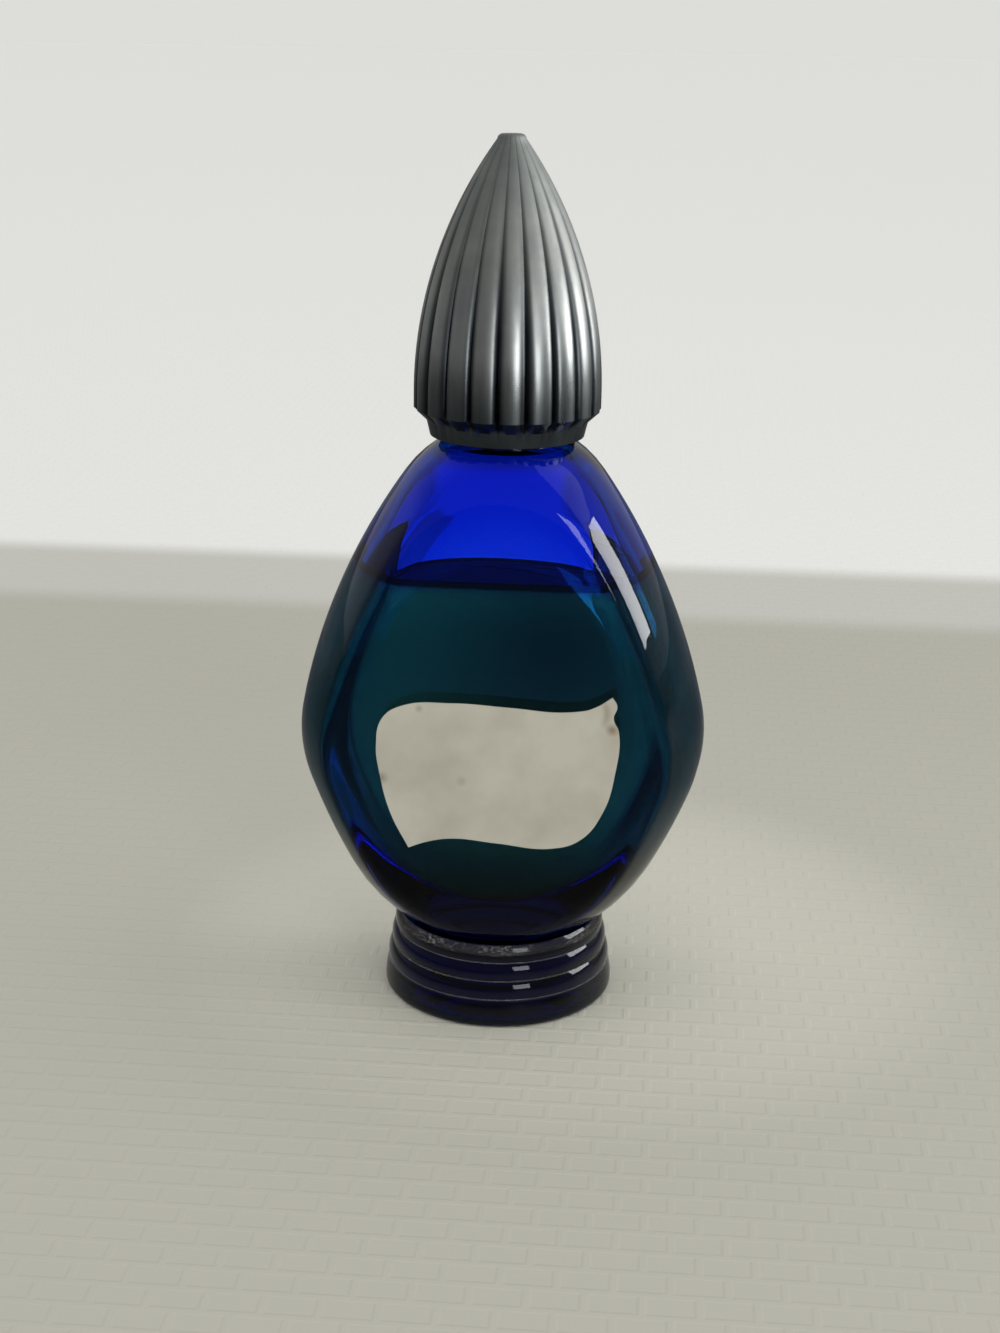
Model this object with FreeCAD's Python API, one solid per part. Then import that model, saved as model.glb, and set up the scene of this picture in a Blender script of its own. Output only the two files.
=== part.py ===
import FreeCAD, Part
import math
import os

# A flat-sided glass cologne bottle on a ringed foot, with a fluted screw cap.
# Millimetres and degrees. Origin at the centre of the foot's underside, +Z up, label towards -Y.

# Ringed foot: a taller heel ring with three slimmer rings stacked on it
foot_base_r = 12.4
foot_top_r = 11.3
heel_height = 3.1
heel_edge_r = 0.65
ring_count = 3
ring_pitch = 1.95
ring_bulge = 0.4
rest_inner_r = 9.4
push_up = 0.9
push_up_flat_r = 3.0

# Glass body: a lozenge outline with a flat panel front and back
body_width = 42.8
body_depth = 20.4
widest_z = 29.5
corner_r = 16.0
upper_flank_r = 66.0
lower_flank_r = 63.0
waist_half_width = 12.4
bevel_width = 3.8
panel_rise = 0.2
panel_drop = 1.7
crease_r = 0.9

# Hollow inside the body, thick-walled at the shoulder and the base
side_wall = 2.5
panel_wall = 2.4
floor_thickness = 2.4
floor_round = 2.0
hollow_corner_r = 12.0
hollow_upper_r = 250.0
hollow_lower_r = 80.0
hollow_bevel = 7.5
hollow_neck_r = 6.0
hollow_roof_drop = 1.0
hollow_face_drop = 21.4

# Neck and its screw finish
collar_z = 60.3
collar_lip = 0.65
collar_height = 0.8
collar_edge_r = 0.5
neck_r = 5.2
neck_height = 8.6
rim_edge_r = 0.5
bore_r = 2.9
thread_height = 0.7
thread_pitch = 2.117
thread_turns = 1.5
thread_root = 1.2
thread_crest = 0.5
thread_embed = 0.2
thread_start = 3.5
thread_clearance = 0.15

# Liquid, label and pour plug
fill_drop = 13.1
fill_clearance = 0.04
label_width = 24.8
label_height = 15.2
label_x = 0.3
label_z = 27.6
label_thickness = 0.12
plug_length = 5.0
plug_fit = 0.02
plug_lip = 1.4
plug_flange = 0.7
pour_hole_r = 0.9

# Label outline between its two pointed corners, as shares of its half width and half height
label_over = [
    (-0.73, -1.09),
    (-0.88, -0.60),
    (-0.97, -0.04),
    (-1.00, 0.39),
    (-0.95, 0.76),
    (-0.80, 0.94),
    (-0.38, 1.01),
    (0.09, 0.98),
    (0.58, 0.95),
    (0.79, 1.03),
    (0.93, 1.19),
]
label_under = [
    (0.93, 1.19),
    (1.00, 0.74),
    (0.97, 0.10),
    (0.88, -0.46),
    (0.70, -0.87),
    (0.47, -1.01),
    (0.00, -0.97),
    (-0.37, -0.93),
    (-0.59, -1.00),
    (-0.73, -1.09),
]

# Sealing disc
seal_gap = 0.05
facing_thickness = 0.2
board_thickness = 1.0
liner_clearance = 0.3

# Cap
skirt_gap = 0.7
skirt_height = 1.5
skirt_flare = 0.35
shell_wall = 0.85
insert_wall = 0.93
insert_fit = 0.02
insert_recess = 0.5
insert_top = 0.8
rib_count = 20
rib_depth = 0.65
rib_overhang = 1.3
rib_chamfer = 1.2
rib_straight = 1.2
rib_turn = 7.0
rib_levels = 8
point_height = 18.8
tip_r = 1.3
tip_edge = 0.4
void_shoulder = 0.9
void_taper = 0.3
void_height = 12.0

# Heights and radii that follow from those above
foot_height = heel_height + ring_count * ring_pitch
half_depth = body_depth / 2
crest_r = neck_r + thread_height
insert_bore_r = crest_r + thread_clearance
insert_r = insert_bore_r + insert_wall
shell_bore_r = insert_r + insert_fit
skirt_r = shell_bore_r + shell_wall
skirt_top_r = skirt_r + skirt_flare
rib_r = skirt_top_r + rib_overhang
collar_r = skirt_r + collar_lip
fill_z = collar_z - fill_drop
rim_z = collar_z + neck_height
thread_z = collar_z + thread_start
facing_z = rim_z + plug_flange + seal_gap
board_z = facing_z + facing_thickness
insert_roof_z = board_z + board_thickness + seal_gap
insert_top_z = insert_roof_z + insert_top
skirt_z = collar_z + skirt_gap
insert_z = skirt_z + insert_recess
rib_z = skirt_z + skirt_height
ogive_z = rib_z + rib_chamfer + rib_straight
cap_top_z = insert_top_z + point_height
ogive_rise = cap_top_z - ogive_z
ogive_drop = rib_r - tip_r
ogive_r = (ogive_rise**2 + ogive_drop**2) / (2 * ogive_drop)

# Share of a shallow arc's whole drop that it has made at its half way
half_way_drop = 0.25

up = FreeCAD.Vector(0, 0, 1)
origin = FreeCAD.Vector(0, 0, 0)


def turned(profile):
    """A solid of revolution about Z from (r, z) points. A pair of points is an arc's middle and end."""
    edges = []
    last = None
    for item in profile:
        if isinstance(item[0], tuple):
            middle, end = (FreeCAD.Vector(r, 0, z) for r, z in item)
            edges.append(Part.Arc(last, middle, end).toShape())
        else:
            end = FreeCAD.Vector(item[0], 0, item[1])
            if last is not None:
                edges.append(Part.makeLine(last, end))
        last = end
    edges.append(Part.makeLine(last, edges[0].Vertexes[0].Point))
    return Part.Face(Part.Wire(edges)).revolve(origin, up, 360)


def rounded_top(r, z, edge_r):
    """A turned profile's outer edge, rounded off from its side to its top: arc start, then the arc."""
    lean = edge_r * (1 - math.sqrt(0.5))
    return [(r, z - edge_r), ((r - lean, z - lean), (r - edge_r, z))]


def rod(r, low_z, high_z):
    return Part.makeCylinder(r, high_z - low_z, FreeCAD.Vector(0, 0, low_z))


def slab(low_z, high_z):
    """Everything between two heights."""
    size = 2 * body_width
    return Part.makeBox(size, size, high_z - low_z, FreeCAD.Vector(-size / 2, -size / 2, low_z))


def helix_bead(root_r, tip_r, z):
    """A screw thread's bead from root_r to tip_r, its middle starting at height z on the +X side."""
    path = Part.Wire(Part.makeHelix(thread_pitch, thread_turns * thread_pitch, root_r).Edges)
    half_root = thread_root / 2
    half_crest = thread_crest / 2
    points = [(root_r, -half_root), (tip_r, -half_crest), (tip_r, half_crest), (root_r, half_root)]
    corners = [FreeCAD.Vector(r, 0, h) for r, h in points]
    profile = Part.makePolygon(corners + corners[:1])
    return path.makePipeShell([profile], True, True).translated(up * z)


class Lozenge:
    """A lozenge outline: a rounded corner on each side, with a long arc above it and one below."""

    def __init__(self, half_width, side_r, upper_r, upper_point, lower_r, lower_point):
        self.side_r = side_r
        self.side_x = half_width - side_r
        self.upper_r = upper_r
        self.lower_r = lower_r
        self.upper_x, self.upper_z = self.flank_centre(upper_r, upper_point, 1)
        self.lower_x, self.lower_z = self.flank_centre(lower_r, lower_point, -1)

    def flank_centre(self, flank_r, point, side):
        """Centre of the arc that flows out of the side corner and passes through a point."""
        dx = point[0] - self.side_x
        dz = point[1] - widest_z
        reach = math.hypot(dx, dz)
        extra = flank_r - self.side_r
        along = (flank_r**2 - extra**2 - reach**2) / (2 * extra)
        turn = math.atan2(dz, dx) - side * math.acos(along / reach)
        return self.side_x - extra * math.cos(turn), widest_z - extra * math.sin(turn)

    def wire(self, inset, top_z, bottom_z, y):
        """The outline drawn in by inset and rounded off at top_z and bottom_z, as a closed wire at y."""
        upper_r = self.upper_r - inset
        lower_r = self.lower_r - inset
        side_r = self.side_r - inset
        slack = upper_r - top_z
        crown_z = (self.upper_x**2 + self.upper_z**2 - slack**2) / (2 * (slack + self.upper_z))
        reach = lower_r + bottom_z
        keel_z = (reach**2 - self.lower_x**2 - self.lower_z**2) / (2 * (reach - self.lower_z))
        upper_turn = math.atan2(widest_z - self.upper_z, self.side_x - self.upper_x)
        lower_turn = math.atan2(widest_z - self.lower_z, self.side_x - self.lower_x)
        crown_turn = math.atan2(crown_z - self.upper_z, -self.upper_x)
        keel_turn = math.atan2(keel_z - self.lower_z, -self.lower_x)
        right = [
            (self.lower_x, self.lower_z, lower_r, keel_turn, lower_turn),
            (self.side_x, widest_z, side_r, lower_turn, upper_turn),
            (self.upper_x, self.upper_z, upper_r, upper_turn, crown_turn),
        ]
        left = [(-x, z, r, math.pi - end, math.pi - start) for x, z, r, start, end in reversed(right)]
        crown = (0, crown_z, top_z - crown_z, crown_turn, math.pi - crown_turn)
        keel = (0, keel_z, keel_z - bottom_z, math.pi - keel_turn, 2 * math.pi + keel_turn)
        edges = []
        for x, z, r, start, end in right + [crown] + left + [keel]:
            turns = [start, (start + end) / 2, end]
            stops = [FreeCAD.Vector(x + r * math.cos(t), y, z + r * math.sin(t)) for t in turns]
            edges.append(Part.Arc(*stops).toShape())
        return Part.Wire(edges)

    def pillow(self, inset, depth, bevel, tops, bottoms):
        """A solid with flat faces at y = -depth and depth. tops and bottoms are (rim, face) heights."""
        rim = self.wire(inset, tops[0], bottoms[0], 0)
        faces = [self.wire(inset + bevel, tops[1], bottoms[1], y) for y in (-depth, depth)]
        return Part.makeLoft([faces[0], rim, faces[1]], True, False)


# Glass

def ringed_foot():
    lean = heel_edge_r * (1 - math.sqrt(0.5))
    half_way_r = (push_up_flat_r + rest_inner_r) / 2
    half_way_z = (heel_edge_r + heel_height) / 2
    profile = [
        (0, push_up),
        (push_up_flat_r, push_up),
        ((half_way_r, push_up * (1 - half_way_drop)), (rest_inner_r, 0)),
        (foot_base_r - heel_edge_r, 0),
        ((foot_base_r - lean, lean), (foot_base_r, heel_edge_r)),
        ((foot_base_r - ring_bulge * half_way_drop, half_way_z), (foot_base_r - ring_bulge, heel_height)),
    ]
    for ring in range(1, ring_count + 1):
        crest = foot_base_r + (foot_top_r - foot_base_r) * ring / ring_count
        top = heel_height + ring * ring_pitch
        profile.append(((crest, top - ring_pitch / 2), (crest - ring_bulge, top)))
    profile.append((0, foot_height))
    return turned(profile)


def neck():
    """Collar and neck, rooted in the body's shoulder."""
    root_z = collar_z - half_depth
    profile = [(0, root_z), (neck_r, root_z), (collar_r, collar_z - collar_lip - collar_height)]
    profile += rounded_top(collar_r, collar_z, collar_edge_r)
    profile += [(neck_r, collar_z)]
    profile += rounded_top(neck_r, rim_z, rim_edge_r)
    profile += [(0, rim_z)]
    return turned(profile)


def hollow(clearance):
    """The space inside the body, drawn in by a clearance."""
    half_width = body_width / 2 - side_wall
    roof_z = collar_z - hollow_roof_drop
    floor_z = foot_height + floor_thickness
    shape = Lozenge(
        half_width,
        hollow_corner_r,
        hollow_upper_r,
        (hollow_neck_r, roof_z),
        hollow_lower_r,
        (waist_half_width - side_wall, foot_height),
    )
    depth = half_depth - panel_wall - clearance
    tops = (roof_z - clearance, collar_z - hollow_face_drop - clearance)
    bottoms = (floor_z + clearance, floor_z + floor_round + clearance)
    return shape.pillow(clearance, depth, hollow_bevel, tops, bottoms)


def glass_bottle():
    shape = Lozenge(
        body_width / 2,
        corner_r,
        upper_flank_r,
        (collar_r, collar_z - collar_height),
        lower_flank_r,
        (waist_half_width, foot_height),
    )
    panel_top_z = collar_z - panel_drop
    panel_bottom_z = foot_height + panel_rise
    tops = (panel_top_z + bevel_width, panel_top_z)
    bottoms = (panel_bottom_z - bevel_width, panel_bottom_z)
    body = shape.pillow(0, half_depth, bevel_width, tops, bottoms)
    creases = [edge for edge in body.Edges if math.isclose(abs(edge.CenterOfMass.y), half_depth)]
    body = body.makeFillet(crease_r, creases).common(slab(0, collar_z))
    thread = helix_bead(neck_r - thread_embed, crest_r, thread_z)
    bore = rod(bore_r, collar_z - half_depth, rim_z + rim_edge_r)
    glass = body.fuse([ringed_foot(), neck(), thread])
    return glass.cut([hollow(0), bore]).removeSplitter()


def cologne_fill():
    return hollow(fill_clearance).common(slab(0, fill_z))


def front_label():
    """A wavy flag, rounded at its upper left and lower right and pointed at its other two corners."""
    edges = []
    for shares in (label_over, label_under):
        points = [(label_x + label_width / 2 * x, label_z + label_height / 2 * z) for x, z in shares]
        curve = Part.BSplineCurve()
        curve.interpolate([FreeCAD.Vector(x, -half_depth, z) for x, z in points])
        edges.append(curve.toShape())
    paper = Part.Face(Part.Wire(edges))
    return paper.extrude(FreeCAD.Vector(0, -label_thickness, 0))


def pour_plug():
    stem_r = bore_r - plug_fit
    stem_z = rim_z - plug_length
    flange_z = rim_z + plug_flange
    profile = [
        (pour_hole_r, stem_z),
        (stem_r - plug_flange / 2, stem_z),
        (stem_r, stem_z + plug_flange),
        (stem_r, rim_z),
        (stem_r + plug_lip, rim_z),
        (stem_r + plug_lip, flange_z),
        (pour_hole_r, flange_z),
    ]
    return turned(profile)


# Cap

def crest_at(z):
    """Radius of the ribs' crests at a height: straight, then an arc to the tip."""
    rise = max(z - ogive_z, 0)
    return rib_r - ogive_r + math.sqrt(ogive_r**2 - rise**2)


def ribbed_section(z):
    """A ring of rounded ribs at a height, as a wire with one arc for each rib."""
    crest = crest_at(z)
    valley = crest - rib_depth * crest / rib_r
    half_step = math.pi / rib_count
    first = math.radians(rib_turn - 90)

    def at(r, angle):
        return FreeCAD.Vector(r * math.cos(angle), r * math.sin(angle), z)

    edges = []
    for rib in range(rib_count):
        middle = first + 2 * half_step * rib
        start = at(valley, middle - half_step)
        end = at(valley, middle + half_step)
        edges.append(Part.Arc(start, at(crest, middle), end).toShape())
    return Part.Wire(edges)


def cap_shell():
    """Ribbed ogive, chamfered under the ribs and at the tip, on a plain skirt, bored for the insert."""
    heights = [rib_z] + [ogive_z + ogive_rise * step / rib_levels for step in range(rib_levels + 1)]
    ribs = Part.makeLoft([ribbed_section(z) for z in heights], True, False)
    outside_r = rib_r + rib_overhang
    envelope = turned([
        (0, rib_z),
        (skirt_top_r, rib_z),
        (outside_r, rib_z + 2 * rib_chamfer),
        (outside_r, cap_top_z - outside_r + tip_r - tip_edge),
        (tip_r - tip_edge, cap_top_z),
        (0, cap_top_z),
    ])
    skirt = turned([(0, skirt_z), (skirt_r, skirt_z), (skirt_top_r, rib_z), (0, rib_z)])
    void_r = shell_bore_r - void_shoulder
    bored = turned([
        (0, skirt_z - skirt_gap),
        (shell_bore_r, skirt_z - skirt_gap),
        (shell_bore_r, insert_top_z),
        (void_r, insert_top_z),
        (void_r - void_taper * void_height, insert_top_z + void_height),
        (0, insert_top_z + void_height),
    ])
    return ribs.common(envelope).fuse(skirt).cut(bored).removeSplitter()


def cap_insert():
    """A threaded sleeve, closed at its top."""
    sleeve = turned([
        (insert_bore_r, insert_z),
        (insert_r, insert_z),
        (insert_r, insert_top_z),
        (0, insert_top_z),
        (0, insert_roof_z),
        (insert_bore_r, insert_roof_z),
    ])
    thread = helix_bead(insert_bore_r + thread_embed, neck_r + thread_clearance, thread_z - thread_pitch / 2)
    return sleeve.fuse(thread).removeSplitter()


def liner_disc(low_z, thickness):
    return rod(insert_bore_r - liner_clearance, low_z, low_z + thickness)


def main():
    pieces = {
        "glass_bottle": glass_bottle(),
        "cologne_fill": cologne_fill(),
        "front_label": front_label(),
        "pour_plug": pour_plug(),
        "cap_shell": cap_shell(),
        "cap_insert": cap_insert(),
        "liner_board": liner_disc(board_z, board_thickness),
        "liner_facing": liner_disc(facing_z, facing_thickness),
    }
    os.makedirs("parts", exist_ok=True)
    for node, shape in pieces.items():
        shape.exportStep(f"parts/{node}.step")
        print(node, f"{shape.Volume / 1000:.3f} cm3", len(shape.Solids), shape.isValid())
    print("brimful", f"{hollow(0).Volume / 1000:.2f} cm3")


main()
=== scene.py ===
import math

import bmesh
import bpy
from mathutils import Matrix, Vector


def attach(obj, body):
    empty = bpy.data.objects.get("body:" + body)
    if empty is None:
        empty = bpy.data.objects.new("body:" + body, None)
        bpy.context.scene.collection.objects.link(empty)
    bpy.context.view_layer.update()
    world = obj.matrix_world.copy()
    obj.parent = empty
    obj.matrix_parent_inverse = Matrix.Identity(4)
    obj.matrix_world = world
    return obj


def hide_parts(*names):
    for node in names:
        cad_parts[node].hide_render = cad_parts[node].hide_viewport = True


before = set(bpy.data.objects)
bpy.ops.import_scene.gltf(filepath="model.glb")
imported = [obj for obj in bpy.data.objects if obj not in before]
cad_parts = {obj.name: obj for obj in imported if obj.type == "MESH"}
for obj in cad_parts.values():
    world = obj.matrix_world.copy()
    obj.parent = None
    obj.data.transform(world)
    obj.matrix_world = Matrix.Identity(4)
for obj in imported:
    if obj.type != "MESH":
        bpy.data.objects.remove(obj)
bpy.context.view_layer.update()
print("frame loaded:", len(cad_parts), "nodes")

toMetres = Matrix.Scale(0.001, 4)  # pieces are modelled in millimetres
upAxis = (0, 0, 1)
frontAxis = (0, -1, 0)
mergeGap = 1e-4
cornerLean = 1 - math.sqrt(0.5)  # how far the middle of a quarter round stands in from its corner


# Small modelling helpers

def limited(value, low, high):
    # 0 at low to 1 at high
    return min(max((value - low) / (high - low), 0), 1)


def lastVert(made):
    return [v for v in made["geom_last"] if isinstance(v, bmesh.types.BMVert)][0]


def everything(bm):
    return bm.verts[:] + bm.edges[:] + bm.faces[:]


def arcTo(bm, vert, middle, end, steps):
    # spins one vertex in the XZ plane through a middle point to an end point, both (x, z)
    ax, az = vert.co.x, vert.co.z
    bx, bz = middle
    cx, cz = end
    d = 2 * (ax * (bz - cz) + bx * (cz - az) + cx * (az - bz))
    a2, b2, c2 = ax * ax + az * az, bx * bx + bz * bz, cx * cx + cz * cz
    ox = (a2 * (bz - cz) + b2 * (cz - az) + c2 * (az - bz)) / d
    oz = (a2 * (cx - bx) + b2 * (ax - cx) + c2 * (bx - ax)) / d
    first = math.atan2(az - oz, ax - ox)
    half = math.atan2(bz - oz, bx - ox) - first
    full = math.atan2(cz - oz, cx - ox) - first
    side = 1 if math.sin(half) > 0 else -1
    while full * side < 0:
        full += side * 2 * math.pi
    made = bmesh.ops.spin(bm, geom=[vert], cent=(ox, vert.co.y, oz), axis=frontAxis, angle=full, steps=steps)
    return lastVert(made)


def lineTo(bm, vert, end):
    made = bmesh.ops.extrude_vert_indiv(bm, verts=[vert])
    made["verts"][0].co = (end[0], vert.co.y, end[1])
    return made["verts"][0]


def drawProfile(bm, profile):
    # (x, z) points, or (middle, end, steps) for an arc
    vert = bm.verts.new((profile[0][0], 0, profile[0][1]))
    for item in profile[1:]:
        if isinstance(item[0], tuple):
            vert = arcTo(bm, vert, *item)
        else:
            vert = lineTo(bm, vert, item)


def turnedMesh(steps, *profiles):
    bm = bmesh.new()
    for profile in profiles:
        drawProfile(bm, profile)
    bmesh.ops.spin(bm, geom=bm.verts[:] + bm.edges[:], cent=(0, 0, 0), axis=upAxis, angle=2 * math.pi,
                   steps=steps, use_merge=True)
    bmesh.ops.remove_doubles(bm, verts=bm.verts, dist=mergeGap)
    bmesh.ops.recalc_face_normals(bm, faces=bm.faces)
    return bm


def toObject(bm, name):
    mesh = bpy.data.meshes.new(name)
    bm.to_mesh(mesh)
    bm.free()
    obj = bpy.data.objects.new(name, mesh)
    bpy.context.scene.collection.objects.link(obj)
    return obj


def combine(base, tool, operation):
    # one exact boolean, applied, with the tool taken away
    step = base.modifiers.new(operation, "BOOLEAN")
    step.object = tool
    step.operation = operation
    step.solver = "EXACT"
    graph = bpy.context.evaluated_depsgraph_get()
    mesh = bpy.data.meshes.new_from_object(base.evaluated_get(graph))
    base.modifiers.clear()
    old = base.data
    base.data = mesh
    bpy.data.meshes.remove(old)
    bpy.data.objects.remove(tool)


def dress(obj, material, body, node, sharpAngle):
    mesh = obj.data
    mesh.transform(toMetres)
    mesh.shade_smooth()
    mesh.set_sharp_from_angle(angle=math.radians(sharpAngle))
    mesh.materials.clear()
    mesh.materials.append(material)
    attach(obj, body)
    if node:
        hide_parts(node)
    print(obj.name, len(mesh.polygons), "faces")


# Lozenge outlines, the same for the glass and for the hollow in it

def flankCentre(shape, flankR, point, side):
    # centre of the arc that flows out of the side corner through a point
    dx = point[0] - shape["halfWidth"] + shape["sideR"]
    dz = point[1] - shape["widestZ"]
    reach = math.hypot(dx, dz)
    extra = flankR - shape["sideR"]
    along = (flankR**2 - extra**2 - reach**2) / (2 * extra)
    turn = math.atan2(dz, dx) - side * math.acos(along / reach)
    return (shape["halfWidth"] - shape["sideR"] - extra * math.cos(turn),
            shape["widestZ"] - extra * math.sin(turn))


def lozengeLoop(bm, shape, inset, top, bottom, y):
    # one closed loop of eight arcs, drawn in by inset
    sideX, widestZ = shape["halfWidth"] - shape["sideR"], shape["widestZ"]
    upX, upZ = flankCentre(shape, shape["upperR"], shape["upperAt"], 1)
    lowX, lowZ = flankCentre(shape, shape["lowerR"], shape["lowerAt"], -1)
    upR, lowR = shape["upperR"] - inset, shape["lowerR"] - inset
    slack, reach = upR - top, lowR + bottom
    crownZ = (upX**2 + upZ**2 - slack**2) / (2 * (slack + upZ))
    keelZ = (reach**2 - lowX**2 - lowZ**2) / (2 * (reach - lowZ))
    upTurn = math.atan2(widestZ - upZ, sideX - upX)
    lowTurn = math.atan2(widestZ - lowZ, sideX - lowX)
    crownTurn = math.atan2(crownZ - upZ, -upX)
    keelTurn = math.atan2(keelZ - lowZ, -lowX)
    flank, side, cap = shape["flankSteps"], shape["sideSteps"], shape["capSteps"]
    arcs = [
        (lowX, lowZ, lowTurn - keelTurn, flank),
        (sideX, widestZ, upTurn - lowTurn, side),
        (upX, upZ, crownTurn - upTurn, flank),
        (0, crownZ, math.pi - 2 * crownTurn, cap),
        (-upX, upZ, crownTurn - upTurn, flank),
        (-sideX, widestZ, upTurn - lowTurn, side),
        (-lowX, lowZ, lowTurn - keelTurn, flank),
        (0, keelZ, math.pi + 2 * keelTurn, cap),
    ]
    old = set(bm.edges)
    vert = bm.verts.new((lowX + lowR * math.cos(keelTurn), y, lowZ + lowR * math.sin(keelTurn)))
    for cx, cz, angle, steps in arcs:
        made = bmesh.ops.spin(bm, geom=[vert], cent=(cx, y, cz), axis=frontAxis, angle=angle, steps=steps)
        vert = lastVert(made)
    fresh = dict.fromkeys(v for e in bm.edges if e not in old for v in e.verts)  # in order, each once
    bmesh.ops.remove_doubles(bm, verts=list(fresh), dist=10 * mergeGap)
    return [e for e in bm.edges if e not in old]


def roundedSag(share, power):
    # 0 in the middle of the depth to 1 at a panel, ending square to the panel
    return 1 - (1 - abs(share)**power)**(1 / power)


def panelFaces(bm):
    # only the two flat panels have so many corners
    return [f for f in bm.faces if len(f.verts) > 8]


def pillow(shape):
    # loops from front to back, bridged, closed with flat panels and softened along the panels' edges
    bm = bmesh.new()
    loops = []
    for share in shape["levels"]:
        sag = share * share
        lean = roundedSag(share, shape["bevelPower"]) if shape["bevelPower"] else sag
        top = shape["top"] - shape["topDrop"] * roundedSag(share, shape["topPower"])
        bottom = shape["bottom"] + shape["bottomRise"] * sag
        inset = shape["wall"] + shape["bevel"] * lean
        loops.append(lozengeLoop(bm, shape, inset, top, bottom, shape["halfDepth"] * share))
    for near, far in zip(loops, loops[1:]):
        bmesh.ops.bridge_loops(bm, edges=near + far)
    for loop in (loops[0], loops[-1]):
        bmesh.ops.contextual_create(bm, geom=loop)
    bmesh.ops.recalc_face_normals(bm, faces=bm.faces)
    edges = [e for f in panelFaces(bm) for e in f.edges]
    bmesh.ops.bevel(bm, geom=edges, offset=shape["crease"], segments=shape["creaseSteps"], profile=0.5,
                    affect="EDGES", material=-1)
    bmesh.ops.inset_region(bm, faces=panelFaces(bm), thickness=shape["crease"] / 2, depth=0)
    return bm


def outlineX(shape, inset, z):
    # half width of a drawn-in outline at a height
    sideX, widestZ, sideR = shape["halfWidth"] - shape["sideR"], shape["widestZ"], shape["sideR"] - inset
    flanks = ((shape["upperR"], shape["upperAt"], 1), (shape["lowerR"], shape["lowerAt"], -1))
    for flankR, point, side in flanks:
        x, height = flankCentre(shape, flankR, point, side)
        joint = math.atan2(widestZ - height, sideX - x)
        if side * (z - widestZ - sideR * math.sin(joint)) > 0:
            return x + math.sqrt(max((flankR - inset)**2 - (z - height)**2, 0))
    return sideX + math.sqrt(max(sideR**2 - (z - widestZ)**2, 0))


def cutAbove(bm, z):
    made = bmesh.ops.bisect_plane(bm, geom=everything(bm), dist=mergeGap, plane_co=(0, 0, z), plane_no=upAxis,
                                  clear_outer=True)
    rim = [e for e in made["geom_cut"] if isinstance(e, bmesh.types.BMEdge)]
    return bmesh.ops.contextual_create(bm, geom=rim)["faces"]


# Small node helpers, which take plain values or sockets to link

def opaque(colour):
    return (*colour, 1)


def greys(stops):
    return [(at, (value, value, value)) for at, value in stops]


def feed(tree, value, socket):
    if isinstance(value, bpy.types.NodeSocket):
        tree.links.new(value, socket)
    else:
        socket.default_value = value


def newNode(tree, kind, **inputs):
    made = tree.nodes.new(kind)
    for key, value in inputs.items():
        feed(tree, value, made.inputs[key.replace("_", " ")])
    return made


def maths(tree, operation, *values, clamp=False):
    made = tree.nodes.new("ShaderNodeMath")
    made.operation = operation
    made.use_clamp = clamp
    for value, socket in zip(values, made.inputs):
        feed(tree, value, socket)
    return made.outputs["Value"]


def vectorMaths(tree, operation, output, *values):
    made = tree.nodes.new("ShaderNodeVectorMath")
    made.operation = operation
    for value, socket in zip(values, made.inputs):
        feed(tree, value, socket)
    return made.outputs[output]


def mapRange(tree, value, low, high, toLow=0.0, toHigh=1.0, curve="LINEAR"):
    made = newNode(tree, "ShaderNodeMapRange", Value=value, From_Min=low, From_Max=high, To_Min=toLow,
                   To_Max=toHigh)
    made.interpolation_type = curve
    return made.outputs["Result"]


def mixColours(tree, factor, under, over, blend="MIX"):
    made = tree.nodes.new("ShaderNodeMix")
    made.data_type = "RGBA"
    made.blend_type = blend
    for value, at in ((factor, 0), (under, 6), (over, 7)):  # where a colour mix has them
        feed(tree, value, made.inputs[at])
    return made.outputs[2]


def ramp(tree, source, stops):
    made = newNode(tree, "ShaderNodeValToRGB", Fac=source)
    for i, (at, colour) in enumerate(stops):
        stop = made.color_ramp.elements[i] if i < 2 else made.color_ramp.elements.new(at)
        stop.position = at
        stop.color = opaque(colour)
    return made.outputs["Color"]


def placeOf(tree, kind="Object"):
    return tree.nodes.new("ShaderNodeTexCoord").outputs[kind]


def alongAxis(tree, vector, axis):
    return newNode(tree, "ShaderNodeSeparateXYZ", Vector=vector).outputs[axis]


def attribute(tree, name):
    made = tree.nodes.new("ShaderNodeAttribute")
    made.attribute_name = name
    return made.outputs["Fac"]


def newMaterial(name, **values):
    material = bpy.data.materials.new(name)
    material.use_nodes = True
    shader = material.node_tree.nodes["Principled BSDF"]
    for key, value in values.items():
        shader.inputs[key.replace("_", " ")].default_value = value
    return material, material.node_tree, shader


def addBump(tree, shader, height, strength, distance):
    bump = newNode(tree, "ShaderNodeBump", Strength=strength, Distance=distance, Height=height)
    tree.links.new(bump.outputs["Normal"], shader.inputs["Normal"])


def addAbsorption(tree, colour, density):
    fog = newNode(tree, "ShaderNodeVolumeAbsorption", Color=opaque(colour), Density=density)
    tree.links.new(fog.outputs["Volume"], tree.nodes["Material Output"].inputs["Volume"])


# Effects that several materials share, as node groups on object coordinates, scales in waves per metre

noiseInputs = {"Scale": 200.0, "Detail": 3.0, "Roughness": 0.5}
grainInputs = {**noiseInputs, "Stretch": (1.0, 1.0, 1.0)}
mottleInputs = {**noiseInputs, "Low": 0.35, "High": 0.65, "Dark": (0.4, 0.4, 0.4, 1.0), "Light": (0.5, 0.5, 0.5, 1.0)}
heightInputs = {"Low": 0.0, "High": 0.1}
dustInputs = {"Speck": 4000.0, "Patch": 200.0, "Strength": 0.3, "Film": 0.02}
dustBands = {"Speck": (0.5, 0.72), "Patch": (0.42, 0.66)}


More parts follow.
